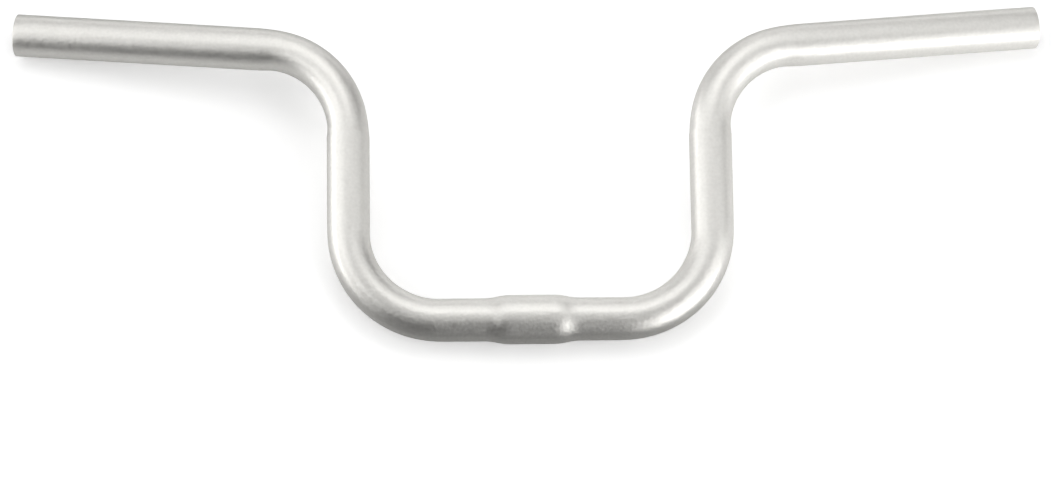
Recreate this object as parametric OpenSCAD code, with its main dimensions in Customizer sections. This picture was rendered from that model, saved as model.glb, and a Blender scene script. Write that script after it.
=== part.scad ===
// Riser handlebar: one aluminium tube, bulged at the stem clamp, bent four times
// and cut square at both ends. It lies as it comes to rest on a flat surface.
// X runs across the width, Y runs from the clamp towards the grips, Z is up.
// The origin is the middle of the clamp zone, on the axis of the bulge.

/* [Tube] */
// Outside diameter of the tube, from the bulge to both ends
tube_d = 22.2; // [20:0.1:24]
// Thickness of the wall
wall = 2; // [1.5:0.1:3]
// Break of the sharp edges where the ends are cut
edge_break = 0.4; // [0.2:0.1:0.6]

/* [Clamp zone] */
// Outside diameter of the bulge that the stem clamps
clamp_d = 25.4; // [25:0.1:28]
// Length of the bulge, from the middle of one taper to the middle of the other
clamp_len = 36; // [30:1:50]
// Length of the soft taper from the bulge down to the tube
taper_len = 14; // [8:0.5:16]

/* [Bends] */
// Radius of every bend, on the middle line of the tube
bend_r = 47; // [40:1:60]
// Straight tube from the middle of the bar to each lower bend
centre_half = 47; // [40:1:60]
// Straight tube of each leg, between its lower and its upper bend
leg_len = 53; // [20:1:120]
// Turn of each upper bend: 90 gives level grips, less gives grips that rise outwards
grip_turn = 84; // [75:1:90]
// Backsweep of the grips, as a twist of the upper bends about the legs
backsweep = 7.5; // [0:0.5:15]

/* [Grips] */
// Width of the bar, between the middles of the two cut ends
width = 536; // [420:1:760]

/* [Hidden] */

// Finish of the bare metal
satin_silver = [0.78, 0.78, 0.76];

tube_r = tube_d / 2;
bore_r = tube_r - wall;
clamp_r = clamp_d / 2;
lower_turn = 90;

// Sides of a round section in the preview
around = 96;
// An upper bend is drawn this hair thinner than the straight tube, and the grip
// runs on over its end by the lap, so the two meet at a clean edge
draw_down = 0.02;
lap = 0.8;
// How far the bore runs past both cut ends
past = 1;

// Width that one upper bend takes up, and the grip length that is then left
bend_width = bend_r * (1 - cos(grip_turn)) * cos(backsweep);
grip_width = width / 2 - centre_half - bend_r - bend_width;
grip_len = grip_width / (sin(grip_turn) * cos(backsweep));

// Way that the right grip points before the bar is laid down, with Y up the legs
grip_dir = [
    sin(grip_turn) * cos(backsweep),
    cos(grip_turn),
    -sin(grip_turn) * sin(backsweep)
];

// Middle of the last full ring of the right grip, where its edge break starts:
// how far it is up the legs, and how far the backsweep drops it
ring_at = grip_len - edge_break;
ring_rise = bend_r + leg_len + bend_r * sin(grip_turn) + ring_at * grip_dir.y;
ring_drop = bend_r * (1 - cos(grip_turn)) * sin(backsweep) - ring_at * grip_dir.z;
ring_reach = norm([ring_rise, ring_drop]);
drop_angle = atan2(ring_drop, ring_rise);

// The bar tips about X until the bulge and the rims of both ends touch the surface.
// The rim's lowest point depends on the tilt itself, so a few steps settle it.
function grip_slope(tilt) = grip_dir.y * sin(tilt) + grip_dir.z * cos(tilt);
function rim_depth(tilt) = tube_r * sqrt(1 - pow(grip_slope(tilt), 2));
function settled(tilt, steps) = steps == 0
    ? tilt
    : settled(drop_angle + asin((rim_depth(tilt) - clamp_r) / ring_reach), steps - 1);
lay_tilt = settled(drop_angle, 6);

// Half outline of the centre: a straight rod of radius r that swells to big_r
// through two equal arcs, each tangent to its neighbours
module centre_outline(r, big_r) {
    swell = big_r - r;
    arc_r = (taper_len * taper_len + swell * swell) / (4 * swell);
    flat_end = (clamp_len - taper_len) / 2;
    mid = clamp_len / 2;
    taper_end = mid + taper_len / 2;
    square([big_r, flat_end]);
    intersection() {
        translate([big_r - arc_r, flat_end]) circle(r = arc_r, $fn = 4 * around);
        translate([0, flat_end]) square([big_r + swell, mid - flat_end]);
    }
    difference() {
        translate([0, mid]) square([big_r, taper_end - mid]);
        translate([r + arc_r, taper_end]) circle(r = arc_r, $fn = 4 * around);
    }
    translate([0, taper_end]) square([r, centre_half - taper_end]);
}

// Centre of the bar: both halves of the outline, revolved about X
module centre(r, big_r) {
    for (side = [0, 1]) mirror([side, 0, 0]) rotate([0, 90, 0])
        rotate_extrude($fn = around) centre_outline(r, big_r);
}

// Straight rod from the origin along X
module straight(r, len) {
    rotate([0, 90, 0]) cylinder(r = r, h = len, $fn = around);
}

// Bend that leaves the origin along X and turns towards Y
module bend(r, turn) {
    translate([0, bend_r, 0]) rotate([0, 0, -90])
        rotate_extrude(angle = turn, $fn = 2 * around)
            translate([bend_r, 0]) circle(r = r, $fn = around);
}

// Carries its children to the far end of such a bend, with X along the tube
module after_bend(turn) {
    translate([bend_r * sin(turn), bend_r * (1 - cos(turn)), 0])
        rotate([0, 0, turn]) children();
}

// Carries its children to the start of the right upper bend, turned outwards,
// with the backsweep already in the plane of the bend
module at_upper_bend() {
    translate([centre_half, 0, 0]) after_bend(lower_turn)
        translate([leg_len, 0, 0]) rotate([backsweep, 0, 0])
            mirror([0, 1, 0]) children();
}

// Right arm as a solid rod: lower bend, leg and upper bend
module arm(r) {
    translate([centre_half, 0, 0]) {
        bend(r, lower_turn);
        after_bend(lower_turn) straight(r, leg_len);
    }
    at_upper_bend() bend(r - draw_down, grip_turn);
}

// Solid rod of the right grip, whose last stretch narrows or widens to end_r
module grip(r, end_r) {
    at_upper_bend() after_bend(grip_turn) {
        translate([-lap, 0, 0]) straight(r, lap + ring_at);
        translate([ring_at, 0, 0]) rotate([0, 90, 0])
            cylinder(r1 = r, r2 = end_r, h = edge_break, $fn = around);
    }
}

// Room past the cut end of the right grip, which opens the mouth of the bore
module mouth(r) {
    at_upper_bend() after_bend(grip_turn)
        translate([grip_len, 0, 0]) straight(r, past);
}

module outside() {
    centre(tube_r, clamp_r);
    for (side = [0, 1]) mirror([side, 0, 0]) {
        arm(tube_r);
        grip(tube_r, tube_r - edge_break);
    }
}

module bore() {
    centre(bore_r, clamp_r - wall);
    for (side = [0, 1]) mirror([side, 0, 0]) {
        arm(bore_r);
        grip(bore_r, bore_r + edge_break);
        mouth(bore_r + edge_break);
    }
}

module handlebar() {
    color(satin_silver) rotate([lay_tilt, 0, 0]) difference() {
        outside();
        bore();
    }
}

handlebar();
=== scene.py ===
"""Looks of the riser handlebar: one swept tube of satin aluminium on a white table.

Units are metres. X runs across the width, Y from the clamp towards the grips and
Z up, with the origin in the middle of the clamp zone, as in the frame.
"""

from math import asin, atan2, cos, hypot, pi, radians, sin, sqrt

import bpy
from mathutils import Matrix, Vector


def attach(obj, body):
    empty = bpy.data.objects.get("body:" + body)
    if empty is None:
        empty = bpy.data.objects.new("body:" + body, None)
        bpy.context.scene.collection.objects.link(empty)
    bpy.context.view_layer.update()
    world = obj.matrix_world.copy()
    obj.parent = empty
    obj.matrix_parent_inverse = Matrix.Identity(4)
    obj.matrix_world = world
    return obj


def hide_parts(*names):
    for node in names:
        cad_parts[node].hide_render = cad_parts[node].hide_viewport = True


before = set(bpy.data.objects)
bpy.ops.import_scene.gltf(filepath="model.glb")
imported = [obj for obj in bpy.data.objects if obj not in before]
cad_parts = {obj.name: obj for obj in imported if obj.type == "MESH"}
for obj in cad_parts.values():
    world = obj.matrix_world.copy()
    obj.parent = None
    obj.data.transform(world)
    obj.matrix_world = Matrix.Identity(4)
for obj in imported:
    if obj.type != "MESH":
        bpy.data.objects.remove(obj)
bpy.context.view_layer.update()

MM = 0.001

# Sizes of the bar
TUBE_R = 11.1 * MM
CLAMP_R = 12.7 * MM
WALL = 2.0 * MM
EDGE_BREAK = 0.4 * MM
CLAMP_LEN = 36.0 * MM
TAPER_LEN = 14.0 * MM
BEND_R = 47.0 * MM
CENTRE_HALF = 47.0 * MM
LEG_LEN = 53.0 * MM
LOWER_TURN = radians(90)
GRIP_TURN = radians(84)
BACKSWEEP = radians(7.5)
WIDTH = 536.0 * MM

# Radius of the bore, in the tube and under the bulge
BORE_R = TUBE_R - WALL
CLAMP_BORE_R = CLAMP_R - WALL
# Where the full bulge ends and where its taper does, from the middle of the bar
FLAT_END = (CLAMP_LEN - TAPER_LEN) / 2
TAPER_END = FLAT_END + TAPER_LEN
# Lengths of the bends on their middle lines
LOWER_LEN = BEND_R * LOWER_TURN
UPPER_LEN = BEND_R * GRIP_TURN
# Steps that settle the tilt at which the bar rests
TILT_STEPS = 6

# Share by which bending has flattened the tube in the plane of each bend
LOWER_FLAT = 0.014
UPPER_FLAT = 0.050
# Length over which the section eases from round to flattened
FLAT_EASE = 14.0 * MM

# Fineness of the mesh
OUTER_SIDES = 128
BORE_SIDES = 64
STATION_STEP = 2.2 * MM
TAPER_STEP = 0.7 * MM
RIM_STEPS = 4

# Ways and places in the right half before the bar is laid down: up, up the leg, the foot
# and the top of the leg, and the way the upper bend turns, with the normal of its plane
UP = Vector((0, 0, 1))
LEG = Vector((0, 1, 0))
FOOT = Vector((CENTRE_HALF + BEND_R, BEND_R, 0))
TOP = FOOT + LEG * LEG_LEN
OUTWARDS = Vector((cos(BACKSWEEP), 0, -sin(BACKSWEEP)))
PLANE_UP = OUTWARDS.cross(LEG)

# Materials of the mesh, by the order of its slots
SATIN, BORE, CUT = 0, 1, 2

# Part of a noise's range over which the roughness changes
NOISE_LOW, NOISE_HIGH = 0.3, 0.7

# Satin outside: soft clouds of tint under a fine speckle
SATIN_CLOUD = 6.0 * MM
SATIN_SPECKLE = 1.6 * MM
SPECKLE_DETAIL = 0.6
SPECKLE_SHARE = 0.65
SATIN_TINTS = (0.660, 0.650, 0.621), (0.815, 0.805, 0.775)
SATIN_ROUGHNESS = 0.43, 0.48
SATIN_DENTS = 0.09 * MM

# Drawn inside of the tube
BORE_PATCH = 3.0 * MM
BORE_DETAIL = 3.0
BORE_TINTS = (0.46, 0.455, 0.44), (0.62, 0.61, 0.59)
BORE_ROUGHNESS = 0.50, 0.66
BORE_DENTS = 0.15 * MM

# Cut face of the wall
CUT_MARK = 0.3 * MM
CUT_TINTS = (0.74, 0.735, 0.72), (0.84, 0.835, 0.82)
CUT_ROUGHNESS = 0.28, 0.36
CUT_DENTS = 0.02 * MM

# Camera, fitted to the edges of the bar in the photo
PHOTO_WIDTH_PX = 1052
FOCAL_PX = 4590.0
SENSOR = 36.0
CAMERA_AIM = Vector((-2.67, 37.74, 10.0)) * MM
CAMERA_DISTANCE = 2.363
CAMERA_ELEVATION = radians(68.81)
CAMERA_AZIMUTH = radians(-3.59)
CAMERA_ROLL = radians(2.85)
CAMERA_REACH = 20.0

# White table: half its width, its colour to the camera, and the glow that keeps the
# shadow pale, which rises to plain white between two distances from the origin
TABLE_HALF = 6.0
TABLE_WHITE = 0.98
GLOW = 0.26
GLOW_NEAR, GLOW_FAR = 0.40, 0.90

# The same table as the metal mirrors it, with painted light and shade: its least grey, what
# is added at the left and at the right end of the bar, where the painted shade in front
# turns to painted light, and where painted shade falls behind the bar, and to what share
PAINTED_LIGHT_LEAST = 0.14
PAINTED_LIGHT_LEFT, PAINTED_LIGHT_RIGHT = 0.55, 1.0
PAINTED_LIGHT_HALF = 0.30
FRONT_DARK, FRONT_LIT = -0.07, 0.06
BACK_LIT, BACK_SHADED = 0.15, 0.25
BACK_SHADE_SHARE = 0.35

# Soft panels round the bar, all turned to one point: name, angle from straight up and
# azimuth from +X towards +Y in degrees, distance, width and height in metres, and
# brightness, where 1 is white
PANEL_CENTRE = Vector((0, 0.08, 0))
PANELS = [
    ("top", 33, 90, 1.6, 1.0, 0.9, 1.6),
    ("top_near", 17, 90, 1.6, 0.9, 0.5, 1.35),
    ("top_far", 58, 90, 1.6, 1.2, 0.4, 1.62),
    ("over_camera", 14, 270, 1.6, 0.6, 0.4, 1.44),
    ("back_edge", 86, 90, 1.6, 3.0, 0.25, 2.4),
    ("left_near", 25, 165, 1.6, 0.5, 0.5, 1.85),
    ("left_high", 48, 180, 1.6, 0.8, 0.7, 1.9),
    ("left_back", 50, 140, 1.6, 0.7, 0.7, 1.5),
    ("left_front", 45, 211, 1.6, 0.5, 0.5, 2.4),
    ("left_mid", 68, 165, 1.6, 0.9, 0.5, 1.1),
    ("left_front_low", 72, 205, 1.6, 0.8, 0.5, 1.05),
    ("left_low", 83, 175, 1.6, 1.6, 0.35, 2.6),
    ("left_edge", 86, 180, 1.6, 3.0, 0.25, 1.7),
    ("right_near", 25, 20, 1.6, 0.5, 0.5, 1.5),
    ("right_high", 45, 0, 1.6, 0.8, 0.7, 0.92),
    ("right_back", 50, 45, 1.6, 0.7, 0.7, 0.82),
    ("right_mid", 55, 340, 1.2, 0.5, 0.5, 1.44),
    ("right", 68, 5, 1.6, 1.2, 0.9, 0.54),
    ("right_low", 80, 345, 1.6, 1.2, 0.35, 0.89),
    ("front_right_high", 40, 320, 1.0, 0.31, 0.31, 1.54),
    ("front_right", 58, 308, 1.0, 0.38, 0.31, 3.7),
    ("front_right_far", 70, 300, 1.6, 0.7, 0.5, 0.46),
    ("front_right_low", 82, 318, 1.3, 1.3, 0.28, 4.9),
]


def grip_length():
    """Straight length of a grip, from the width that the rest of the bar leaves."""
    bend_width = BEND_R * (1 - cos(GRIP_TURN)) * cos(BACKSWEEP)
    left = WIDTH / 2 - CENTRE_HALF - BEND_R - bend_width
    return left / (sin(GRIP_TURN) * cos(BACKSWEEP))


def lay_tilt():
    """Tilt about X at which the bulge and the rims of both ends touch the table."""
    way_y = cos(GRIP_TURN)
    way_z = -sin(GRIP_TURN) * sin(BACKSWEEP)
    ring_at = grip_length() - EDGE_BREAK
    rise = BEND_R + LEG_LEN + BEND_R * sin(GRIP_TURN) + ring_at * way_y
    drop = BEND_R * (1 - cos(GRIP_TURN)) * sin(BACKSWEEP) - ring_at * way_z
    drop_angle = atan2(drop, rise)
    tilt = drop_angle
    for _ in range(TILT_STEPS):
        slope = way_y * sin(tilt) + way_z * cos(tilt)
        rim_depth = TUBE_R * sqrt(1 - slope * slope)
        tilt = drop_angle + asin((rim_depth - CLAMP_R) / hypot(rise, drop))
    return tilt


def swell(x, r, big_r):
    """Radius of the centre at x: a bulge that eases down through two equal arcs."""
    rise = big_r - r
    arc = (TAPER_LEN**2 + rise**2) / (4 * rise)
    if x <= FLAT_END:
        return big_r
    if x >= TAPER_END:
        return r
    if x <= CLAMP_LEN / 2:
        return big_r - arc + sqrt(arc**2 - (x - FLAT_END) ** 2)
    return r + arc - sqrt(arc**2 - (TAPER_END - x) ** 2)


def ease(t):
    """Smooth step from 0 to 1."""
    t = min(max(t, 0.0), 1.0)
    return t * t * (3 - 2 * t)


def flattening(at, length, most):
    """How flat a bend is at a distance along it: round outside it, flattest inside."""
    into = ease((at + FLAT_EASE / 2) / FLAT_EASE)
    out_of = ease((length + FLAT_EASE / 2 - at) / FLAT_EASE)
    return most * into * out_of


def spread(start, end, step):
    """Even stations from start up to, but not at, end."""
    count = max(int(round((end - start) / step)), 2)
    return [start + (end - start) * i / count for i in range(count)]


class Station:
    """One ring of the right half: its middle, the two ways it spans, and its sizes."""

    def __init__(self, middle, along, binormal, turned=0.0, flat=0.0):
        self.middle = middle
        self.along = along
        self.binormal = binormal
        self.normal = binormal.cross(along)
        self.turned = turned
        self.flat = flat
        self.outer = TUBE_R
        self.bore = BORE_R

    def ring(self, r, sides):
        """Corners of a ring, flattened along its normal, which lies in the bend's plane."""
        out = []
        for i in range(sides):
            a = 2 * pi * i / sides + self.turned
            sideways = self.binormal * (r * cos(a))
            inwards = self.normal * (r * sin(a) * (1 - self.flat))
            out.append(self.middle + sideways + inwards)
        return out


def centre_stations():
    """Straight middle of the bar with its bulge."""
    places = spread(0, FLAT_END, STATION_STEP) + spread(FLAT_END, TAPER_END, TAPER_STEP)
    places += spread(TAPER_END, CENTRE_HALF, STATION_STEP)
    out = []
    for x in places:
        station = Station(Vector((x, 0, 0)), Vector((1, 0, 0)), UP)
        station.flat = flattening(x - CENTRE_HALF, LOWER_LEN, LOWER_FLAT)
        station.outer = swell(x, TUBE_R, CLAMP_R)
        station.bore = swell(x, BORE_R, CLAMP_BORE_R)
        out.append(station)
    return out


def lower_bend_stations():
    """Bend from the centre up to the leg."""
    hub = Vector((CENTRE_HALF, BEND_R, 0))
    out = []
    for s in spread(0, LOWER_LEN, STATION_STEP):
        a = s / BEND_R
        middle = hub + BEND_R * Vector((sin(a), -cos(a), 0))
        flat = flattening(s, LOWER_LEN, LOWER_FLAT)
        out.append(Station(middle, Vector((cos(a), sin(a), 0)), UP, flat=flat))
    return out


def leg_stations():
    """Straight leg."""
    out = []
    for s in spread(0, LEG_LEN, STATION_STEP):
        flat = flattening(LOWER_LEN + s, LOWER_LEN, LOWER_FLAT)
        out.append(Station(FOOT + LEG * s, LEG, UP, flat=flat))
    return out


def upper_bend_stations():
    """Bend from the leg out to the grip, in the plane that the backsweep tips."""
    out = []
    for s in spread(0, UPPER_LEN, STATION_STEP):
        a = s / BEND_R
        middle = TOP + BEND_R * (sin(a) * LEG + (1 - cos(a)) * OUTWARDS)
        along = cos(a) * LEG + sin(a) * OUTWARDS
        flat = flattening(s, UPPER_LEN, UPPER_FLAT)
        out.append(Station(middle, along, PLANE_UP, -BACKSWEEP, flat))
    return out


def grip_stations():
    """Straight grip, up to its last full ring, where the rounding of the rim starts."""
    start = TOP + BEND_R * (sin(GRIP_TURN) * LEG + (1 - cos(GRIP_TURN)) * OUTWARDS)
    along = cos(GRIP_TURN) * LEG + sin(GRIP_TURN) * OUTWARDS
    full = grip_length() - EDGE_BREAK
    out = []
    for s in spread(0, full, STATION_STEP):
        flat = flattening(UPPER_LEN + s, UPPER_LEN, UPPER_FLAT)
        out.append(Station(start + along * s, along, PLANE_UP, -BACKSWEEP, flat))
    out.append(Station(start + along * full, along, PLANE_UP, -BACKSWEEP))
    return out


def rim_stations(last):
    """Quarter round from the last full ring to the cut face, outside and in the bore."""
    out = []
    for i in range(1, RIM_STEPS + 1):
        a = pi / 2 * i / RIM_STEPS
        middle = last.middle + last.along * (EDGE_BREAK * sin(a))
        rim = Station(middle, last.along, last.binormal, last.turned)
        shrink = EDGE_BREAK * (1 - cos(a))
        rim.outer -= shrink
        rim.bore += shrink
        out.append(rim)
    return out


def both_sides(rings):
    """Rings of the whole bar from left to right, from those of its right half."""
    left = [[Vector((-p.x, p.y, p.z)) for p in ring] for ring in reversed(rings[1:])]
    return left + rings


class Shell:
    """Corners and faces of the bar, with the material of each face."""

    def __init__(self):
        self.corners = []
        self.faces = []
        self.kinds = []

    def add_face(self, face, flip, kind):
        self.faces.append(face[::-1] if flip else face)
        self.kinds.append(kind)

    def add_tube(self, rings, sides, flip, kind):
        """Adds a tube through the rings and returns the number of its first corner."""
        start = len(self.corners)
        for ring in rings:
            self.corners.extend(ring)
        for k in range(len(rings) - 1):
            row = start + k * sides
            for i in range(sides):
                a, b = row + i, row + (i + 1) % sides
                self.add_face((a, b, b + sides, a + sides), flip, kind)
        return start

    def add_end(self, outer, inner, flip):
        """Adds the cut face between two rings, given by the numbers of their first corners."""
        ratio = OUTER_SIDES // BORE_SIDES
        for i in range(BORE_SIDES):
            j = (i + 1) % BORE_SIDES
            edge = [outer + (i * ratio + k) % OUTER_SIDES for k in range(ratio + 1)]
            self.add_face([inner + i] + edge + [inner + j], flip, CUT)


def link(name, data):
    """New object of the scene."""
    obj = bpy.data.objects.new(name, data)
    bpy.context.collection.objects.link(obj)
    return obj


def build_bar():
    """The whole bar as it lies: outside, rounded rims, cut faces and bore."""
    half = centre_stations() + lower_bend_stations() + leg_stations()
    half += upper_bend_stations() + grip_stations()
    half += rim_stations(half[-1])
    outer = both_sides([s.ring(s.outer, OUTER_SIDES) for s in half])
    inner = both_sides([s.ring(s.bore, BORE_SIDES) for s in half])
    shell = Shell()
    outer_at = shell.add_tube(outer, OUTER_SIDES, True, SATIN)
    inner_at = shell.add_tube(inner, BORE_SIDES, False, BORE)
    last = len(outer) - 1
    shell.add_end(outer_at, inner_at, True)
    shell.add_end(outer_at + last * OUTER_SIDES, inner_at + last * BORE_SIDES, False)

    mesh = bpy.data.meshes.new("bar")
    mesh.from_pydata([tuple(p) for p in shell.corners], [], shell.faces)
    mesh.transform(Matrix.Rotation(lay_tilt(), 4, "X"))
    mesh.polygons.foreach_set("material_index", shell.kinds)
    mesh.polygons.foreach_set("use_smooth", [True] * len(mesh.polygons))
    mesh.update()
    return link("bar", mesh)


class Nodes:
    """Short calls for the nodes of one material or world."""

    def __init__(self, tree):
        self.tree = tree
        tree.nodes.clear()

    def add(self, kind, **inputs):
        """New node, its inputs given by name, with _ for each space."""
        node = self.tree.nodes.new(kind)
        for name, value in inputs.items():
            self.put(node, name.replace("_", " "), value)
        return node

    def put(self, node, name, value):
        """Sets a socket to a number or colour, or links another socket to it."""
        if isinstance(value, bpy.types.NodeSocket):
            self.tree.links.new(value, node.inputs[name])
        else:
            node.inputs[name].default_value = value

    def math(self, operation, a, b, c=None):
        """Sum or product, or both, of two or three values."""
        node = self.tree.nodes.new("ShaderNodeMath")
        node.operation = operation
        for i, value in enumerate((a, b, c)):
            if value is not None:
                self.put(node, i, value)
        return node.outputs[0]

    def noise(self, place, size, detail=2.0):
        """Noise whose blobs are about the given size across."""
        node = self.add("ShaderNodeTexNoise", Vector=place, Scale=1 / size, Detail=detail)
        return node.outputs["Fac"]

    def mix(self, share, a, b):
        """Number between two numbers."""
        node = self.tree.nodes.new("ShaderNodeMix")
        for i, value in ((0, share), (2, a), (3, b)):
            self.put(node, i, value)
        return node.outputs[0]

    def tint(self, share, a, b):
        """Colour between two colours, given as red, green and blue."""
        node = self.tree.nodes.new("ShaderNodeMix")
        node.data_type = "RGBA"
        for i, value in ((0, share), (6, (*a, 1)), (7, (*b, 1))):
            self.put(node, i, value)
        return node.outputs[2]

    def spread(self, value, low, high, out_low, out_high, smooth=False):
        """Carries the range from low to high over to the one from out_low to out_high."""
        node = self.add("ShaderNodeMapRange", Value=value)
        if smooth:
            node.interpolation_type = "SMOOTHSTEP"
        names = ("From Min", "From Max", "To Min", "To Max")
        for name, number in zip(names, (low, high, out_low, out_high)):
            node.inputs[name].default_value = number
        return node.outputs[0]


def new_material(name):
    """New material and its empty nodes."""
    mat = bpy.data.materials.new(name)
    mat.use_nodes = True
    return mat, Nodes(mat.node_tree)


def metal(nodes, share, grain, tints, roughness, dents):
    """Bare metal whose tint follows one share, and whose sheen and dents follow a grain."""
    bump = nodes.add("ShaderNodeBump", Strength=1.0, Distance=dents, Height=grain)
    shader = nodes.add(
        "ShaderNodeBsdfPrincipled",
        Metallic=1.0,
        Roughness=nodes.spread(grain, NOISE_LOW, NOISE_HIGH, *roughness),
        Normal=bump.outputs[0],
        Base_Color=nodes.tint(share, *tints),
    )
    nodes.add("ShaderNodeOutputMaterial", Surface=shader.outputs[0])


def satin_aluminium():
    """Bead-blasted and clear anodised: a fine speckle over a soft, slightly warm sheen."""
    mat, nodes = new_material("satin_aluminium")
    place = nodes.add("ShaderNodeTexCoord").outputs["Object"]
    cloud = nodes.noise(place, SATIN_CLOUD)
    speckle = nodes.noise(place, SATIN_SPECKLE, SPECKLE_DETAIL)
    fine = nodes.math("MULTIPLY", speckle, SPECKLE_SHARE)
    share = nodes.math("MULTIPLY_ADD", cloud, 1 - SPECKLE_SHARE, fine)
    metal(nodes, share, speckle, SATIN_TINTS, SATIN_ROUGHNESS, SATIN_DENTS)
    return mat


def drawn_bore():
    """Inside of the tube as it was drawn: duller and rougher than the outside."""
    mat, nodes = new_material("drawn_bore")
    place = nodes.add("ShaderNodeTexCoord").outputs["Object"]
    patches = nodes.noise(place, BORE_PATCH, BORE_DETAIL)
    metal(nodes, patches, patches, BORE_TINTS, BORE_ROUGHNESS, BORE_DENTS)
    return mat


def cut_end():
    """Cut face of the wall: fresh, brighter and smoother, with the finest of tool marks."""
    mat, nodes = new_material("cut_end")
    place = nodes.add("ShaderNodeTexCoord").outputs["Object"]
    marks = nodes.noise(place, CUT_MARK)
    metal(nodes, marks, marks, CUT_TINTS, CUT_ROUGHNESS, CUT_DENTS)
    return mat


def place_camera():
    """Camera at the photo's place, lens and roll."""
    data = bpy.data.cameras.new("camera")
    data.sensor_width = SENSOR
    data.lens = SENSOR * FOCAL_PX / PHOTO_WIDTH_PX
    data.clip_end = CAMERA_REACH
    cam = link("camera", data)
    back = Vector((
        sin(CAMERA_AZIMUTH) * cos(CAMERA_ELEVATION),
        -cos(CAMERA_AZIMUTH) * cos(CAMERA_ELEVATION),
        sin(CAMERA_ELEVATION),
    ))
    right = UP.cross(back).normalized()
    turn = Matrix((right, back.cross(right), back)).transposed()
    cam.matrix_world = (
        Matrix.Translation(CAMERA_AIM + back * CAMERA_DISTANCE)
        @ turn.to_4x4()
        @ Matrix.Rotation(CAMERA_ROLL, 4, "Z")
    )
    bpy.context.scene.camera = cam


def painted_table_light(nodes, position):
    """Table as the metal mirrors it, with painted shade in front and painted light between the
    legs.
    """
    place = nodes.add("ShaderNodeSeparateXYZ", Vector=position).outputs
    across = nodes.spread(
        place["X"], -PAINTED_LIGHT_HALF, PAINTED_LIGHT_HALF, PAINTED_LIGHT_LEFT, PAINTED_LIGHT_RIGHT
    )
    front = nodes.spread(place["Y"], FRONT_DARK, FRONT_LIT, 0.0, 1.0, smooth=True)
    back = nodes.spread(place["Y"], BACK_LIT, BACK_SHADED, 1.0, BACK_SHADE_SHARE, smooth=True)
    # Painted light, brighter towards the right, with painted shade in front of the bar and
    # behind it
    lit = nodes.math("MULTIPLY", across, nodes.math("MULTIPLY", front, back))
    return nodes.math("ADD", lit, PAINTED_LIGHT_LEAST)


def table_glow(nodes, position, seen):
    """Glow of the table: pale to the camera near the bar, and white far from it to the
    camera and to mirrored and refracted rays."""
    away = nodes.add("ShaderNodeVectorMath", Vector=position)
    away.operation = "LENGTH"
    distance = away.outputs["Value"]
    to_camera = nodes.spread(distance, GLOW_NEAR, GLOW_FAR, GLOW, 1.0, smooth=True)
    to_metal = nodes.spread(distance, GLOW_NEAR, GLOW_FAR, 0.0, 1.0, smooth=True)
    bent = nodes.math("ADD", seen["Is Glossy Ray"], seen["Is Transmission Ray"])
    bent_glow = nodes.math("MULTIPLY", bent, to_metal)
    return nodes.math("MULTIPLY_ADD", seen["Is Camera Ray"], to_camera, bent_glow)


def white_table():
    """White to the camera, apart from the soft shadow of the bar; to the metal it shows painted
    light and shade.
    """
    mat, nodes = new_material("white_table")
    seen = nodes.add("ShaderNodeLightPath").outputs
    position = nodes.add("ShaderNodeNewGeometry").outputs["Position"]
    # To all but the camera the table's colour is painted light and shade, which the metal
    # mirrors
    mirrored = painted_table_light(nodes, position)
    grey = nodes.mix(seen["Is Camera Ray"], mirrored, TABLE_WHITE)
    diffuse = nodes.add("ShaderNodeBsdfDiffuse", Color=grey)
    glow = nodes.add("ShaderNodeEmission", Strength=table_glow(nodes, position, seen))
    both = nodes.add("ShaderNodeAddShader")
    nodes.put(both, 0, diffuse.outputs[0])
    nodes.put(both, 1, glow.outputs[0])
    nodes.add("ShaderNodeOutputMaterial", Surface=both.outputs[0])
    return mat


def lay_floor():
    """Square table at the lowest point of the bulge."""
    mesh = bpy.data.meshes.new("floor")
    corners = ((-1, -1), (1, -1), (1, 1), (-1, 1))
    places = [(x * TABLE_HALF, y * TABLE_HALF, -CLAMP_R) for x, y in corners]
    mesh.from_pydata(places, [], [(0, 1, 2, 3)])
    mesh.materials.append(white_table())
    link("floor", mesh)


def hang_panel(name, polar, azimuth, distance, width, height, brightness):
    """Soft panel that faces the middle of the panels from the given side."""
    polar, azimuth = radians(polar), radians(azimuth)
    out = Vector((sin(polar) * cos(azimuth), sin(polar) * sin(azimuth), cos(polar)))
    data = bpy.data.lights.new(name, "AREA")
    data.shape = "RECTANGLE"
    data.size = width
    data.size_y = height
    # At this power the panel's face is as bright as a surface of that brightness
    data.energy = brightness * pi * width * height
    level = Vector((-sin(azimuth), cos(azimuth), 0))
    turn = Matrix((level, out.cross(level), out)).transposed()
    panel = link(name, data)
    panel.matrix_world = Matrix.Translation(PANEL_CENTRE + out * distance) @ turn.to_4x4()


def light_scene():
    """Hangs the panels in a dark room that the camera sees as white."""
    world = bpy.data.worlds.new("room")
    bpy.context.scene.world = world
    world.use_nodes = True
    nodes = Nodes(world.node_tree)
    seen = nodes.add("ShaderNodeLightPath").outputs
    white = nodes.add("ShaderNodeBackground", Color=(1, 1, 1, 1), Strength=seen["Is Camera Ray"])
    nodes.add("ShaderNodeOutputWorld", Surface=white.outputs[0])
    for panel in PANELS:
        hang_panel(*panel)


bpy.context.scene.view_settings.view_transform = "Standard"
bar = build_bar()
for material in (satin_aluminium(), drawn_bore(), cut_end()):
    bar.data.materials.append(material)
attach(bar, "root")
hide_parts("handlebar")
lay_floor()
place_camera()
light_scene()
